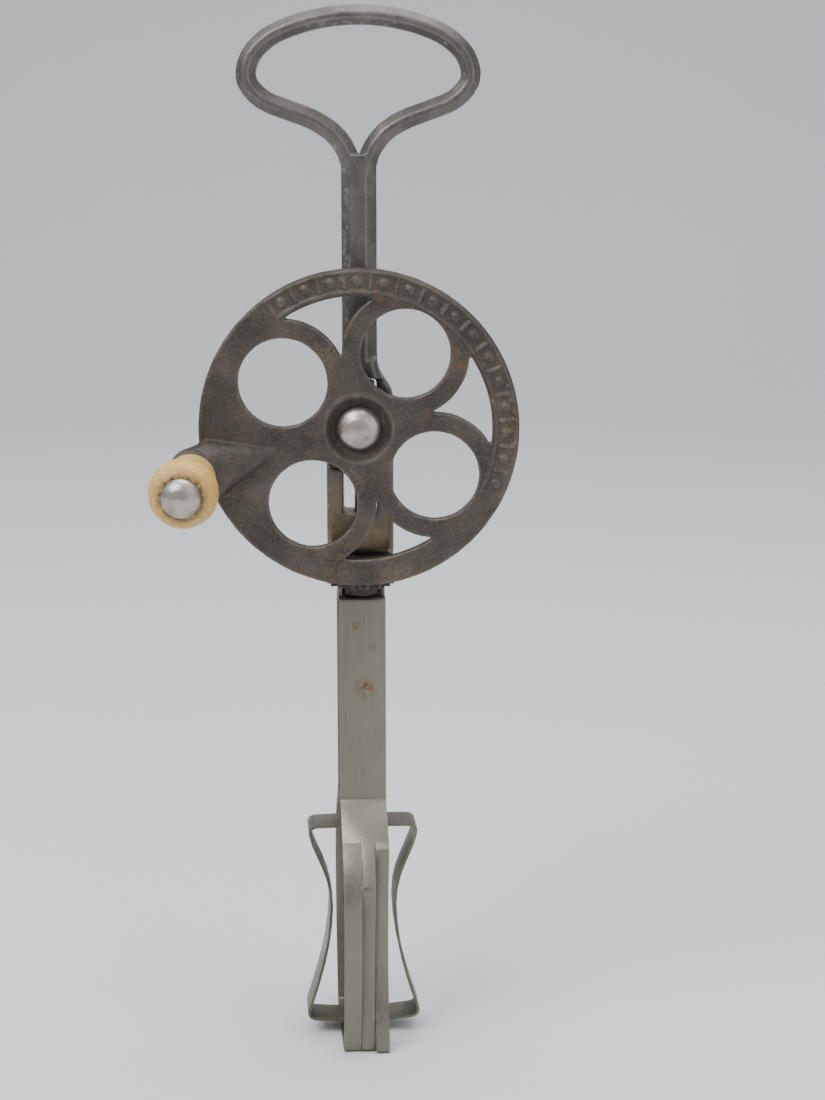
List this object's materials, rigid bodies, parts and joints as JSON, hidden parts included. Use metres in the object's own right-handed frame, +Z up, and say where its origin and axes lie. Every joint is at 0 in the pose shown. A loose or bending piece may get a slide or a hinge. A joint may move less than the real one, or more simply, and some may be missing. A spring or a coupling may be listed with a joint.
{
  "type": "rotary hand egg beater",
  "caption": "Hand beater: a crank wheel with crown teeth turns two nested strap dashers opposite ways below a cast loop handle.",
  "frame": {"origin": "underside of the outer dasher's foot, on the dashers' upright axis", "axes": "+Z up along the dashers' axis, +Y from the wheel to the back of the frame, +X to the right seen from the wheel's side"},
  "size_m": [0.0902, 0.0721, 0.2686],
  "materials": {
    "frame_iron": "worn gunmetal casting, smoothed on its faces",
    "wheel_iron": "dark pitted casting with rust-brown patches",
    "bright_steel": "worn steel",
    "tinned_strap": "tinned steel strap, brushed lengthwise, dull and warm grey",
    "pale_wood": "turned pale wood, worn varnish"
  },
  "bodies": {
    "frame": {"frame_casting": "frame_iron", "axle_stud": "bright_steel", "axle_washer": "bright_steel", "thrust_washer": "bright_steel"},
    "wheel": {"drive_wheel": "wheel_iron", "crank_pin": "bright_steel", "knob_washer": "bright_steel"},
    "knob": {"crank_knob": "pale_wood"},
    "inner_beater": {"inner_shaft": "bright_steel", "upper_pinion": "wheel_iron", "pinion_pin": "bright_steel", "shaft_collar": "bright_steel", "inner_dasher": "tinned_strap", "upper_ferrule": "bright_steel", "lower_ferrule": "bright_steel", "collar_pin": "bright_steel", "upper_ferrule_pin": "bright_steel", "lower_ferrule_pin": "bright_steel"},
    "outer_beater": {"lower_pinion": "wheel_iron", "hub_washer": "bright_steel", "outer_dasher": "tinned_strap", "foot_bearing": "bright_steel"}
  },
  "joints": [
    {"name": "wheel_spin", "type": "hinge", "parent": "frame", "child": "wheel", "pos_m": [0, -0.0107, 0.165], "axis": [0, 1, 0], "continuous": true},
    {"name": "knob_spin", "type": "hinge", "parent": "wheel", "child": "knob", "pos_m": [-0.04154, -0.031, 0.15387], "axis": [0, 1, 0], "continuous": true},
    {"name": "outer_spin", "type": "hinge", "parent": "frame", "child": "outer_beater", "pos_m": [0, 0, 0.1215], "axis": [0, 0, 1], "continuous": true},
    {"name": "inner_spin", "type": "hinge", "parent": "frame", "child": "inner_beater", "pos_m": [0, 0, 0.174], "axis": [0, 0, 1], "continuous": true}
  ],
  "couplings": [
    {"joint": "outer_spin", "follows": "wheel_spin", "ratio": -4.6667},
    {"joint": "inner_spin", "follows": "wheel_spin", "ratio": 2.8571}
  ]
}
